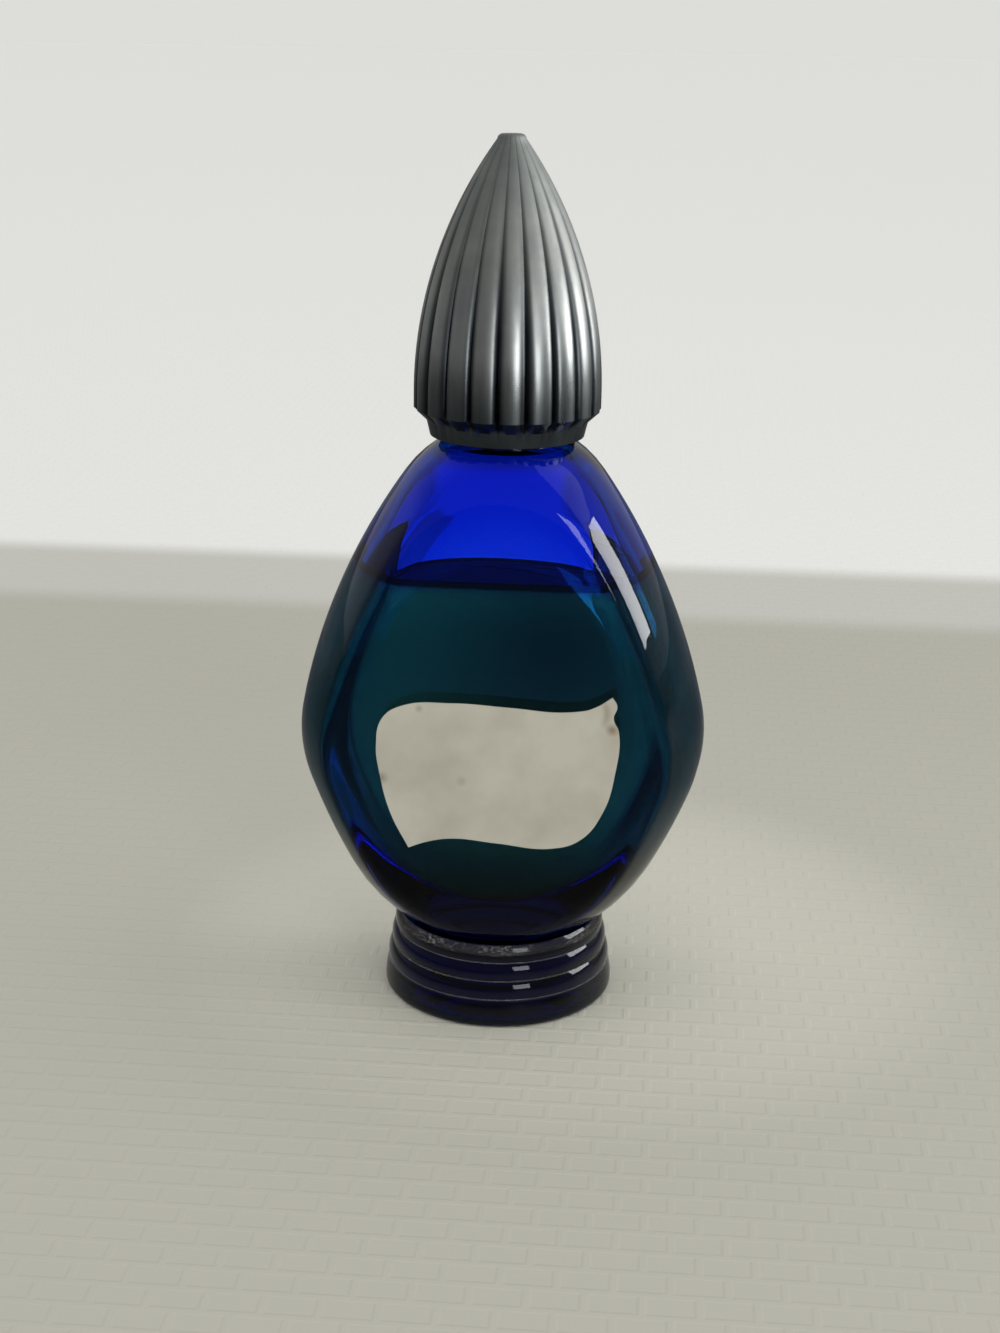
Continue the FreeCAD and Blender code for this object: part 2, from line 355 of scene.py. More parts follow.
def newGroup(name, inputs, outputs):
    group = bpy.data.node_groups.new(name, "ShaderNodeTree")
    kinds = {3: "NodeSocketVector", 4: "NodeSocketColor"}
    for label, value in inputs.items():
        kind = kinds[len(value)] if isinstance(value, tuple) else "NodeSocketFloat"
        group.interface.new_socket(name=label, in_out="INPUT", socket_type=kind).default_value = value
    for label, kind in outputs.items():
        group.interface.new_socket(name=label, in_out="OUTPUT", socket_type=kind)
    given = group.nodes.new("NodeGroupInput").outputs
    return group, given, group.nodes.new("NodeGroupOutput").inputs


def placeGroup(tree, group, **values):
    made = tree.nodes.new("ShaderNodeGroup")
    made.node_tree = group
    for key, value in values.items():
        made.inputs[key].default_value = value
    return made.outputs


def groupNoise(group, vector, **inputs):
    return newNode(group, "ShaderNodeTexNoise", Vector=vector, **inputs).outputs["Fac"]


def makeGrainGroup():
    group, given, out = newGroup("grain", grainInputs, {"Value": "NodeSocketFloat"})
    stretched = vectorMaths(group, "MULTIPLY", "Vector", placeOf(group), given["Stretch"])
    noise = groupNoise(group, stretched, **{key: given[key] for key in noiseInputs})
    group.links.new(noise, out["Value"])
    return group


def makeMottleGroup():
    # clouds between two tones
    group, given, out = newGroup("mottle", mottleInputs, {"Colour": "NodeSocketColor", "Value": "NodeSocketFloat"})
    noise = groupNoise(group, placeOf(group), **{key: given[key] for key in noiseInputs})
    share = mapRange(group, noise, given["Low"], given["High"])
    group.links.new(mixColours(group, share, given["Dark"], given["Light"]), out["Colour"])
    group.links.new(noise, out["Value"])
    return group


def makeHeightGroup():
    # 0 at one height to 1 at another
    group, given, out = newGroup("heightShare", heightInputs, {"Share": "NodeSocketFloat"})
    height = alongAxis(group, placeOf(group), "Z")
    group.links.new(mapRange(group, height, given["Low"], given["High"]), out["Share"])
    return group


def makeDustGroup():
    # fine specks, thicker in patches, over a faint film
    group, given, out = newGroup("dust", dustInputs, {"Mask": "NodeSocketFloat"})
    masks = []
    for label, most in (("Speck", given["Strength"]), ("Patch", 1.0)):
        noise = groupNoise(group, placeOf(group), Scale=given[label], Detail=2.0, Roughness=0.5)
        masks.append(mapRange(group, noise, *dustBands[label], toHigh=most))
    group.links.new(maths(group, "MULTIPLY_ADD", *masks, given["Film"]), out["Mask"])
    return group


grainGroup, mottleGroup = makeGrainGroup(), makeMottleGroup()
heightGroup, dustGroup = makeHeightGroup(), makeDustGroup()
print("shared effects:", len(bpy.data.node_groups))


# Glass bottle: body, ringed foot and threaded neck as one piece, with its hollow taken out

bodyShape = {
    "halfWidth": 21.4, "sideR": 16.0, "widestZ": 29.5,
    "upperR": 66.0, "upperAt": (8.5, 59.5), "lowerR": 63.0, "lowerAt": (12.4, 8.95),
    "flankSteps": 18, "sideSteps": 12, "capSteps": 16,
    "levels": (-1, -0.89, -0.74, -0.55, -0.3, 0, 0.3, 0.55, 0.74, 0.89, 1),
    "wall": 0.0, "halfDepth": 10.2, "bevel": 3.8, "bevelPower": None, "top": 62.4, "topDrop": 6.0, "topPower": 2,
    "bottom": 5.35, "bottomRise": 3.8, "crease": 0.9, "creaseSteps": 6,
}
hollowShape = {
    **bodyShape, "levels": (-0.95, -0.88, -0.75, -0.55, -0.3, 0, 0.3, 0.55, 0.75, 0.88, 0.95),
    "wall": 2.3, "halfDepth": 8.1, "bevel": 10.0, "bevelPower": 3.2, "top": 59.3, "topDrop": 17.0, "topPower": 2.5,
    "bottom": 11.35, "bottomRise": 1.8, "crease": 0.4, "creaseSteps": 3,
}
footShape = {
    "baseR": 12.4, "topR": 11.3, "heel": 3.1, "edge": 0.65, "rings": 3, "pitch": 1.95, "bulge": 0.4,
    "restR": 9.4, "pushUp": 0.9, "pushMiddle": 0.75, "flatR": 3.0,
    "steps": 128, "pushSteps": 8, "edgeSteps": 5, "heelSteps": 8, "ringSteps": 10,
}
neckShape = {
    "startZ": 50.1, "shoulderZ": 60.3, "shoulderEdge": 0.6, "shoulderSteps": 4, "neckR": 5.2, "rimZ": 68.9,
    "edge": 0.5, "edgeSteps": 5, "boreR": 2.9, "boreOver": 1.0, "steps": 96,
}
threadShape = {
    "pitch": 2.117, "turns": 1.5, "startZ": 63.8, "rootR": 5.0, "crestR": 5.9, "root": 1.2, "crest": 0.5,
    "stepsPerTurn": 64,
}
# where the painted shade on the bevelled flanks goes
flankShadeMark = {"depth": 0.96, "gap": 0.6, "belowShoulder": 1.0}
glassLook = {
    "ior": 1.5, "roughness": 0.012, "tint": (0.05, 0.74, 0.955), "density": 900, "gloss": (0.55, 0.57, 0.6),
    "height": 0.069,
    # painted shade: darker towards the bottom, for the shade under and around the foot, and darker under the cap's
    # skirt and up the neck; bluer from the liquid level to the shoulder
    "tones": (
        (0.0, (0.05, 0.055, 0.055)), (0.13, (0.04, 0.06, 0.03)), (0.19, (0.2, 0.34, 0.1)), (0.29, (1, 1, 1)),
        (0.672, (1, 1, 1)), (0.69, (0.5, 0.3, 1)), (0.852, (0.5, 0.3, 1)), (0.866, (0.1, 0.1, 0.16)),
        (1.0, (0.3, 0.32, 0.36)),
    ),
    # painted shade on the bevelled flanks, to darken the glass's edges
    "flank": (0.4, 0.36, 0.36),
    "wave": {"Scale": 110, "Detail": 1.0, "Roughness": 0.4}, "bump": (0.08, 0.0006),
}


def makeGlassMaterial():
    look = glassLook
    material, tree, shader = newMaterial("cobaltGlass", Transmission_Weight=1.0, IOR=look["ior"],
                                         Roughness=look["roughness"], Specular_Tint=opaque(look["gloss"]))
    share = placeGroup(tree, heightGroup, High=look["height"])["Share"]
    # painted shade by height, as listed in the tones
    tone = ramp(tree, share, look["tones"])
    # painted shade on the bevelled flanks
    colour = mixColours(tree, attribute(tree, "flank"), tone, opaque(look["flank"]), "MULTIPLY")
    tree.links.new(colour, shader.inputs["Base Color"])
    addBump(tree, shader, placeGroup(tree, grainGroup, **look["wave"])["Value"], *look["bump"])
    addAbsorption(tree, look["tint"], look["density"])
    return material


def ringAt(ring):
    # radius and height of the foot's profile where a ring ends
    s = footShape
    return s["baseR"] + (s["topR"] - s["baseR"]) * ring / s["rings"], s["heel"] + ring * s["pitch"]


def makeFoot():
    s = footShape
    lean = s["edge"] * cornerLean
    pushMiddle = ((s["flatR"] + s["restR"]) / 2, s["pushUp"] * s["pushMiddle"])
    heelMiddle = (s["baseR"] - s["bulge"] / 4, (s["edge"] + s["heel"]) / 2)
    profile = [
        (0, s["pushUp"]),
        (s["flatR"], s["pushUp"]),
        (pushMiddle, (s["restR"], 0), s["pushSteps"]),
        (s["baseR"] - s["edge"], 0),
        ((s["baseR"] - lean, lean), (s["baseR"], s["edge"]), s["edgeSteps"]),
        (heelMiddle, (s["baseR"] - s["bulge"], s["heel"]), s["heelSteps"]),
    ]
    for ring in range(1, s["rings"] + 1):
        crest, top = ringAt(ring)
        profile.append(((crest, top - s["pitch"] / 2), (crest - s["bulge"], top), s["ringSteps"]))
    profile.append((0, ringAt(s["rings"])[1]))
    return toObject(turnedMesh(s["steps"], profile), "footTool")


def makeNeck():
    s = neckShape
    lean = s["edge"] * cornerLean
    rimMiddle = (s["neckR"] - lean, s["rimZ"] - lean)
    profile = [
        (0, s["startZ"]),
        (s["neckR"], s["startZ"]),
        (s["neckR"], s["rimZ"] - s["edge"]),
        (rimMiddle, (s["neckR"] - s["edge"], s["rimZ"]), s["edgeSteps"]),
        (0, s["rimZ"]),
    ]
    return toObject(turnedMesh(s["steps"], profile), "neckTool")


def makeBore():
    s = neckShape
    end = s["rimZ"] + s["boreOver"]
    profile = [(0, s["startZ"]), (s["boreR"], s["startZ"]), (s["boreR"], end), (0, end)]
    return toObject(turnedMesh(s["steps"], profile), "boreTool")


def makeThread():
    s = threadShape
    bm = bmesh.new()
    corners = [(s["rootR"], -s["root"] / 2), (s["crestR"], -s["crest"] / 2),
               (s["crestR"], s["crest"] / 2), (s["rootR"], s["root"] / 2)]
    face = bm.faces.new([bm.verts.new((r, 0, s["startZ"] + h)) for r, h in corners])
    steps = int(s["turns"] * s["stepsPerTurn"])
    rise = s["pitch"] * s["turns"] / steps
    bmesh.ops.spin(bm, geom=[face, *face.edges, *face.verts], cent=(0, 0, 0), axis=upAxis, dvec=(0, 0, rise),
                   angle=2 * math.pi * s["turns"], steps=steps)
    bmesh.ops.recalc_face_normals(bm, faces=bm.faces)
    return toObject(bm, "threadTool")


def markFlankShade(obj):
    # 1 on the bevelled flanks outside the panels, where painted shade goes, 0 elsewhere
    shape, limits = bodyShape, flankShadeMark
    low, high = ringAt(footShape["rings"])[1], neckShape["shoulderZ"] - limits["belowShoulder"]
    mark = obj.data.attributes.new("flank", "FLOAT", "POINT")
    for v, item in zip(obj.data.vertices, mark.data):
        x, y, z = v.co
        depth = abs(y) / shape["halfDepth"]
        if low < z < high and depth < limits["depth"]:
            edge = outlineX(shape, shape["bevel"] * depth**2, z)
            item.value = float(abs(abs(x) - edge) < limits["gap"])


def makeGlass():
    s = neckShape
    bm = pillow(bodyShape)
    lid = cutAbove(bm, s["shoulderZ"])[0]
    bmesh.ops.remove_doubles(bm, verts=lid.verts, dist=s["shoulderEdge"] / 2)
    lid = max(bm.faces, key=lambda f: f.calc_center_median().z)
    bmesh.ops.bevel(bm, geom=list(lid.edges), offset=s["shoulderEdge"], segments=s["shoulderSteps"], profile=0.5,
                    affect="EDGES", clamp_overlap=True, material=-1)
    glass = toObject(bm, "glassBottle")
    for tool in (makeFoot(), makeNeck(), makeThread()):
        combine(glass, tool, "UNION")
    for tool in (toObject(pillow(hollowShape), "hollowTool"), makeBore()):
        combine(glass, tool, "DIFFERENCE")
    markFlankShade(glass)
    return glass


dress(makeGlass(), makeGlassMaterial(), "bottle", "glass_bottle", 30)


# Dust on the foot: a thin film on the top ring, and a line in each groove that is dust and a painted highlight along
# the ring's edge

dustShape = {
    "low": 7.05, "high": 8.9, "clear": 0.006, "film": 0.02, "lineHigh": 0.2, "lineOut": 0.1,
    "steps": 128, "arcSteps": 10,
}
dustLooks = {
    "footDust": {"colour": (0.42, 0.4, 0.36), "mask": {"Speck": 4200, "Patch": 190, "Strength": 0.3, "Film": 0.02}},
    # dust and a painted highlight where the rings meet
    "grooveDustAndSheen": {"colour": (0.42, 0.42, 0.4), "mask": {"Speck": 3000, "Patch": 260, "Strength": 0.3, "Film": 0.1}},
}
dustRoughness = 0.95


def makeDustMaterial(name):
    look = dustLooks[name]
    material, tree, shader = newMaterial(name, Roughness=dustRoughness, Base_Color=opaque(look["colour"]))
    tree.links.new(placeGroup(tree, dustGroup, **look["mask"])["Mask"], shader.inputs["Alpha"])
    return material


def makeFootDust():
    s = dustShape
    crest, foot = footShape["topR"], footShape["topR"] - footShape["bulge"]
    middle, inner, outer = (s["low"] + s["high"]) / 2, s["clear"], s["clear"] + s["film"]
    profile = [
        (foot + inner, s["low"]),
        (foot + outer, s["low"]),
        ((crest + outer, middle), (foot + outer, s["high"]), s["arcSteps"]),
        (foot + inner, s["high"]),
        ((crest + inner, middle), (foot + inner, s["low"]), s["arcSteps"]),
    ]
    return toObject(turnedMesh(s["steps"], profile), "footDust")


def makeGrooveDustAndSheen():
    s = dustShape
    lines = []
    for ring in range(footShape["rings"]):
        crest, z = ringAt(ring)
        r, half = crest - footShape["bulge"], s["lineHigh"] / 2
        lines.append([(r, z - half), (r + s["lineOut"], z), (r, z + half), (r, z - half)])
    return toObject(turnedMesh(s["steps"], *lines), "grooveDustAndSheen")


for piece in (makeFootDust(), makeGrooveDustAndSheen()):
    dress(piece, makeDustMaterial(piece.name), "bottle", None, 40)


# Cologne in it, drawn a hair into the glass so that no air shows between them

fillShape = {
    "level": 47.2, "overlap": 0.05, "climb": 0.35,
    "meniscus": ((0.2, -0.16), (0.3, -0.12), (0.5, -0.07), (0.5, 0.0)),
}
liquidLook = {
    "ior": 1.36, "tint": (0.5, 0.34, 0.1), "density": 180,
    # the rim colour is painted shade: the liquid goes near black from just under its level up, so the meniscus edge
    # shows dark
    "rimZ": 0.0469, "rimFade": 0.0002, "rim": (0.001, 0.0012, 0.0015),
    # painted shade and reflection: the surface's colour, near black
    "skin": {"Scale": 90, "Detail": 2.0, "Low": 0.4, "High": 0.6,
             "Dark": (0.0005, 0.0015, 0.012, 1), "Light": (0.0005, 0.002, 0.018, 1)},
    "skinRoughness": 0.4, "skinSpecular": 0.04, "skinTilt": 0.5,
}


def makeLiquidMaterial():
    look = liquidLook
    material, tree, shader = newMaterial("amberCologne", Transmission_Weight=1.0, IOR=look["ior"], Roughness=0.0)
    # painted shade near the rim
    above = placeGroup(tree, heightGroup, Low=look["rimZ"] - look["rimFade"], High=look["rimZ"])["Share"]
    tree.links.new(ramp(tree, above, [(0, (1, 1, 1)), (1, look["rim"])]), shader.inputs["Base Color"])
    addAbsorption(tree, look["tint"], look["density"])
    return material


def makeSkinMaterial():
    # the surface, painted near black as painted shade and painted reflection: it is only seen at a low angle and so
    # looks dark
    look = liquidLook
    material, tree, shader = newMaterial("cologneSurface", Roughness=look["skinRoughness"],
                                         Specular_IOR_Level=look["skinSpecular"])
    tree.links.new(placeGroup(tree, mottleGroup, **look["skin"])["Colour"], shader.inputs["Base Color"])
    return material


def makeFill():
    bm = pillow(hollowShape)
    bmesh.ops.recalc_face_normals(bm, faces=bm.faces)
    bm.normal_update()
    for v in bm.verts:
        v.co += v.normal * fillShape["overlap"]
    surface = cutAbove(bm, fillShape["level"] + fillShape["climb"])
    bmesh.ops.recalc_face_normals(bm, faces=bm.faces)
    for width, drop in fillShape["meniscus"]:
        bmesh.ops.inset_region(bm, faces=surface, thickness=width, depth=drop)
    return toObject(bm, "cologneFill")


cologne = makeFill()
dress(cologne, makeLiquidMaterial(), "bottle", "cologne_fill", 40)
cologne.data.materials.append(makeSkinMaterial())
for face in cologne.data.polygons:
    if face.normal.z > liquidLook["skinTilt"] and face.center.z > liquidLook["rimZ"]:
        face.material_index = 1


# Label: a wavy flag of paper with one corner lifted

labelShape = {
    "x": 0.3, "z": 27.6, "halfWidth": 12.4, "halfHeight": 7.6, "y": -10.2, "thickness": 0.12, "between": 8,
    "over": ((-0.73, -1.09), (-0.88, -0.60), (-0.97, -0.04), (-1.00, 0.39), (-0.95, 0.76), (-0.80, 0.94),
             (-0.38, 1.01), (0.09, 0.98), (0.58, 0.95), (0.79, 1.03)),
    "under": ((0.93, 1.19), (0.97, 1.08), (0.945, 0.90), (0.99, 0.71), (0.97, 0.10), (0.88, -0.46),
              (0.70, -0.87), (0.47, -1.01), (0.00, -0.97), (-0.37, -0.93), (-0.59, -1.00)),
    "cutsX": (9.0, 9.6, 10.1, 10.5, 10.9, 11.3, 11.7, 12.0, 12.3),
    "cutsZ": (30.5, 31.5, 32.3, 33.0, 33.6, 34.2, 34.8, 35.4, 36.0),
    "ridgeX": 9.3, "ridgeWide": 0.5, "ridgeHigh": 0.1,
    "lift": 0.3, "liftPower": 1.5, "liftX": (10.4, 12.2), "liftZ": (30.5, 34.5),
}
paperLook = {
    "roughness": 0.5, "ior": 1.45,
    "fibre": {"Scale": 1400, "Detail": 4.0, "Roughness": 0.6, "Stretch": (1, 1, 2.2)}, "bump": (0.15, 0.00004),
    "cloud": {"Scale": 160, "Roughness": 0.55, "Low": 0.3, "High": 0.62,
              "Dark": (0.41, 0.39, 0.32, 1), "Light": (0.5, 0.486, 0.411, 1)},
    "stainAndFoldShadeColour": (0.2, 0.12, 0.06),
    # x, z, radius in millimetres, and strength; the first five are stains, the six in a line near x 11.3 are painted
    # shade along the fold of the lifted corner
    "stainsAndFoldShade": ((11.9, 33.2, 0.8, 0.8), (11.3, 23.2, 0.6, 0.5), (-11.5, 26.9, 0.8, 0.6), (-3.3, 26.9, 0.7, 0.35),
               (-7.7, 34.6, 0.5, 0.5), (11.15, 35.7, 0.55, 0.3), (11.3, 35.3, 0.55, 0.3), (11.35, 34.9, 0.55, 0.3),
               (11.3, 34.5, 0.55, 0.3), (11.2, 34.1, 0.55, 0.25), (11.1, 33.7, 0.55, 0.2)),
}


def lifted(x, z):
    # how far the paper stands off the glass near its upper right corner
    s = labelShape
    up = limited(z, *s["liftZ"])
    out = limited(x, *s["liftX"])
    ridge = s["ridgeHigh"] * math.exp(-((x - s["ridgeX"]) / s["ridgeWide"])**2)
    return up * up * (3 - 2 * up) * (s["lift"] * out**s["liftPower"] + ridge)


def makePaperMaterial():
    look = paperLook
    material, tree, shader = newMaterial("labelPaper", Roughness=look["roughness"], IOR=look["ior"])
    colour = placeGroup(tree, mottleGroup, **look["cloud"])["Colour"]
    # stains, and painted shade along the lifted corner's fold
    for x, z, radius, strength in look["stainsAndFoldShade"]:
        y = labelShape["y"] - labelShape["thickness"] - lifted(x, z)
        away = vectorMaths(tree, "DISTANCE", "Value", placeOf(tree), toMetres @ Vector((x, y, z)))
        spot = mapRange(tree, away, 0.0, radius / 1000, strength, 0.0)
        colour = mixColours(tree, spot, colour, opaque(look["stainAndFoldShadeColour"]))
    tree.links.new(colour, shader.inputs["Base Color"])
    addBump(tree, shader, placeGroup(tree, grainGroup, **look["fibre"])["Value"], *look["bump"])
    return material


def makeOutline():
    # the label's edge as a closed wire, flat in XY
    s = labelShape
    curve = bpy.data.curves.new("labelOutline", "CURVE")
    curve.dimensions = "2D"
    curve.resolution_u = s["between"]
    spline = curve.splines.new("BEZIER")
    points = s["over"] + s["under"]
    spline.bezier_points.add(len(points) - 1)
    for point, (x, z) in zip(spline.bezier_points, points):
        point.co = (s["x"] + s["halfWidth"] * x, s["z"] + s["halfHeight"] * z, 0)
        point.handle_left_type = point.handle_right_type = "AUTO"
    for corner in (0, len(s["over"])):
        point = spline.bezier_points[corner]
        point.handle_left_type = point.handle_right_type = "VECTOR"
    spline.use_cyclic_u = True
    outline = bpy.data.objects.new("labelOutline", curve)
    bpy.context.scene.collection.objects.link(outline)
    graph = bpy.context.evaluated_depsgraph_get()
    wire = bpy.data.meshes.new_from_object(outline.evaluated_get(graph))
    bpy.data.objects.remove(outline)
    bm = bmesh.new()
    bm.from_mesh(wire)
    bpy.data.meshes.remove(wire)
    bmesh.ops.delete(bm, geom=bm.faces[:], context="FACES_ONLY")
    bmesh.ops.remove_doubles(bm, verts=bm.verts, dist=10 * mergeGap)
    return bm


def makeLabel():
    s = labelShape
    bm = makeOutline()
    bmesh.ops.rotate(bm, verts=bm.verts, cent=(0, 0, 0), matrix=Matrix.Rotation(math.pi / 2, 3, "X"))
    bmesh.ops.translate(bm, verts=bm.verts, vec=(0, s["y"], 0))
    bmesh.ops.contextual_create(bm, geom=bm.edges[:])
    for normal, cuts in (((1, 0, 0), s["cutsX"]), (upAxis, s["cutsZ"])):
        for cut in cuts:
            bmesh.ops.bisect_plane(bm, geom=everything(bm), dist=mergeGap, plane_co=[cut * a for a in normal],
                                   plane_no=normal)
    for v in bm.verts:
        v.co.y -= lifted(v.co.x, v.co.z)
    bmesh.ops.recalc_face_normals(bm, faces=bm.faces)
    made = bmesh.ops.extrude_face_region(bm, geom=bm.faces[:])
    raised = [v for v in made["geom"] if isinstance(v, bmesh.types.BMVert)]
    bmesh.ops.translate(bm, verts=raised, vec=(0, -s["thickness"], 0))
    bmesh.ops.recalc_face_normals(bm, faces=bm.faces)
    return toObject(bm, "labelPaper")


dress(makeLabel(), makePaperMaterial(), "bottle", "front_label", 40)


# Fluted cap, its ribs drawn in from a turned shape

capShape = {
    "skirtZ": 61.0, "skirtR": 7.85, "skirtTopR": 8.2, "ribZ": 62.5, "ribR": 9.5, "chamfer": 1.2, "straight": 1.2,
    "chamferAt": (0.65, 0.6), "topZ": 90.5, "tipR": 1.3, "tipEdge": 0.5, "tipOut": 0.15, "tipMiddle": (0.05, 0.12),
    "boreR": 7.0, "roofZ": 71.7, "slack": 0.01, "axisR": 0.1,
    "ribs": 20, "turn": 7.0, "crown": 0.28, "groove": 0.36, "power": 7, "fade": (72.0, 88.0), "fadeKeep": 0.2,
    # the band across a rib and the fade towards the tip of the painted shade in the grooves
    "grooveShade": (0.5, 0.85), "grooveShadeFade": 0.8, "across": 18, "along": 40, "tipSteps": 5,
}
capLook = {
    "cloud": {"Scale": 220, "Detail": 4.0, "Roughness": 0.6, "High": 0.7,
              "Dark": (0.44, 0.46, 0.45, 1), "Light": (0.56, 0.57, 0.54, 1)},
    "height": {"Low": 0.061, "High": 0.0905},
    # painted shade and painted reflection: darker and bluer towards the skirt, where the cap mirrors the dark blue
    # glass, and a little darker at the tip
    "heightShade": ((0.0, (0.24, 0.28, 0.32)), (0.06, (0.26, 0.3, 0.34)), (0.12, (0.4, 0.43, 0.47)),
               (0.3, (0.95, 0.97, 1.0)), (0.6, (1, 1, 1)), (1.0, (0.85, 0.88, 0.88))),
    # painted shade in the grooves
    "grooveShade": (0.16, 0.18, 0.2),
    "scuff": {"Scale": 900, "Roughness": 0.6, "Stretch": (1, 1, 0.12)}, "bump": (0.12, 0.00005),
    "scuffBand": (0.3, 0.75), "rough": (0.25, 0.37), "dullBand": (0.22, 0.62), "dull": 0.34,
}


def makeCapMaterial():
    look = capLook
    material, tree, shader = newMaterial("gunmetal", Metallic=1.0)
    tone = placeGroup(tree, mottleGroup, **look["cloud"])["Colour"]
    height = placeGroup(tree, heightGroup, **look["height"])["Share"]
    # painted shade: darker towards the skirt
    heightShaded = mixColours(tree, 1.0, tone, ramp(tree, height, look["heightShade"]), "MULTIPLY")
    # painted shade in the grooves
    grooveShaded = mixColours(tree, attribute(tree, "groove"), heightShaded, opaque(look["grooveShade"]), "MULTIPLY")
    tree.links.new(grooveShaded, shader.inputs["Base Color"])
    scuff = placeGroup(tree, grainGroup, **look["scuff"])["Value"]
    rough = mapRange(tree, scuff, *look["scuffBand"], *look["rough"])
    dull = mapRange(tree, height, *look["dullBand"], toHigh=look["dull"])  # towards the tip
    tree.links.new(maths(tree, "ADD", rough, dull), shader.inputs["Roughness"])
    addBump(tree, shader, scuff, *look["bump"])
    return material


def capProfile():
    s = capShape
    ogiveZ = s["ribZ"] + s["chamfer"] + s["straight"]
    rise, drop = s["topZ"] - ogiveZ, s["ribR"] - s["tipR"]
    ogiveR = (rise**2 + drop**2) / (2 * drop)
    half = math.asin(rise / ogiveR) / 2
    middle = (s["ribR"] - ogiveR + ogiveR * math.cos(half), ogiveZ + ogiveR * math.sin(half))
    tipMiddle = (s["tipR"] - s["tipMiddle"][0], s["topZ"] - s["tipMiddle"][1])
    return [
        (0, s["roofZ"]),
        (s["boreR"], s["roofZ"]),
        (s["boreR"], s["skirtZ"]),
        (s["skirtR"], s["skirtZ"]),
        (s["skirtTopR"], s["ribZ"]),
        (s["ribR"] - s["chamferAt"][0], s["ribZ"] + s["chamferAt"][1]),
        (s["ribR"], s["ribZ"] + s["chamfer"]),
        (s["ribR"], ogiveZ),
        (middle, (s["tipR"] + s["tipOut"], s["topZ"] - s["tipEdge"]), s["along"]),
        (tipMiddle, (s["tipR"] - s["tipEdge"], s["topZ"]), s["tipSteps"]),
        (0, s["topZ"]),
    ]


def makeCap():
    s = capShape
    bm = turnedMesh(s["ribs"] * s["across"], capProfile())
    groove = bm.verts.layers.float.new("groove")
    step = 2 * math.pi / s["ribs"]
    for v in bm.verts:
        r, z = math.hypot(v.co.x, v.co.y), v.co.z
        inside = r < s["boreR"] + s["slack"] and z < s["roofZ"] + s["slack"]
        if z < s["ribZ"] + s["slack"] or r < s["axisR"] or inside:
            continue
        angle = math.atan2(v.co.y, v.co.x) + math.pi / 2 - math.radians(s["turn"])
        off = (angle + step / 2) % step - step / 2
        across = abs(off) / (step / 2)
        fade = limited(z, *s["fade"])
        depth = (s["crown"] * across**2 + s["groove"] * across**s["power"]) * (1 - fade * (1 - s["fadeKeep"]))
        cone = s["skirtTopR"] + (z - s["ribZ"]) * (s["ribR"] - s["skirtTopR"]) / s["chamfer"]
        wanted = min(r * (1 - depth / s["ribR"]), cone)
        v.co.x *= wanted / r
        v.co.y *= wanted / r
        # how much painted shade each groove gets
        v[groove] = limited(across, *s["grooveShade"]) * (1 - fade * s["grooveShadeFade"])
    return toObject(bm, "capShell")


dress(makeCap(), makeCapMaterial(), "cap", "cap_shell", 32)


# Hidden pieces keep their solids

plainLook = {"grain": 500, "grainRoughness": 0.6, "darker": 0.82, "bump": (0.1, 0.00004)}
smallLooks = {
    "pour_plug": ("plugPlastic", (0.8, 0.8, 0.76), 0.4, 0.0),
    "cap_insert": ("insertPlastic", (0.03, 0.03, 0.035), 0.35, 0.0),
    "liner_board": ("pulpBoard", (0.5, 0.4, 0.27), 0.9, 0.0),
    "liner_facing": ("linerFoil", (0.75, 0.75, 0.74), 0.3, 1.0),
}


def makePlainMaterial(name, colour, roughness, metallic):
    look = plainLook
    material, tree, shader = newMaterial(name, Roughness=roughness, Metallic=metallic)
    darker = [look["darker"] * c for c in colour]
    tone = placeGroup(tree, mottleGroup, Scale=look["grain"], Roughness=look["grainRoughness"],
                      Dark=opaque(darker), Light=opaque(colour))
    tree.links.new(tone["Colour"], shader.inputs["Base Color"])
    addBump(tree, shader, tone["Value"], *look["bump"])
    return material


for nodeName, look in smallLooks.items():
    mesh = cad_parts[nodeName].data
    mesh.materials.clear()
    mesh.materials.append(makePlainMaterial(*look))
print("hidden pieces:", len(smallLooks))


# Stage: pale table, light room, lamps, camera

stageLook = {
    "size": 12.0, "roughness": 0.7, "tableAt": (0.008, 0.012, 0),
    "table": ((0.02, (0.585, 0.572, 0.485)), (0.035, (0.537, 0.525, 0.445)), (0.048, (0.462, 0.452, 0.383)),
              (0.1, (0.44, 0.43, 0.365))),
    "trimY": 0.142, "trim": (0.53, 0.53, 0.48), "cardY": 0.176, "card": (0.79, 0.79, 0.758), "soft": 0.006,
    "shadeAt": (0.0, 0.125, 0), "shadeSize": (0.03, 0.09, 1), "shadeTone": 0.1,
    "mirrored": ((0.02, 0.75), (0.045, 0.3), (0.15, 0.12)),
    "brick": {"Scale": 1.0, "Mortar_Size": 0.0005, "Mortar_Smooth": 0.6, "Brick_Width": 0.0048, "Row_Height": 0.003},
    "bump": (0.2, 0.0003),
}


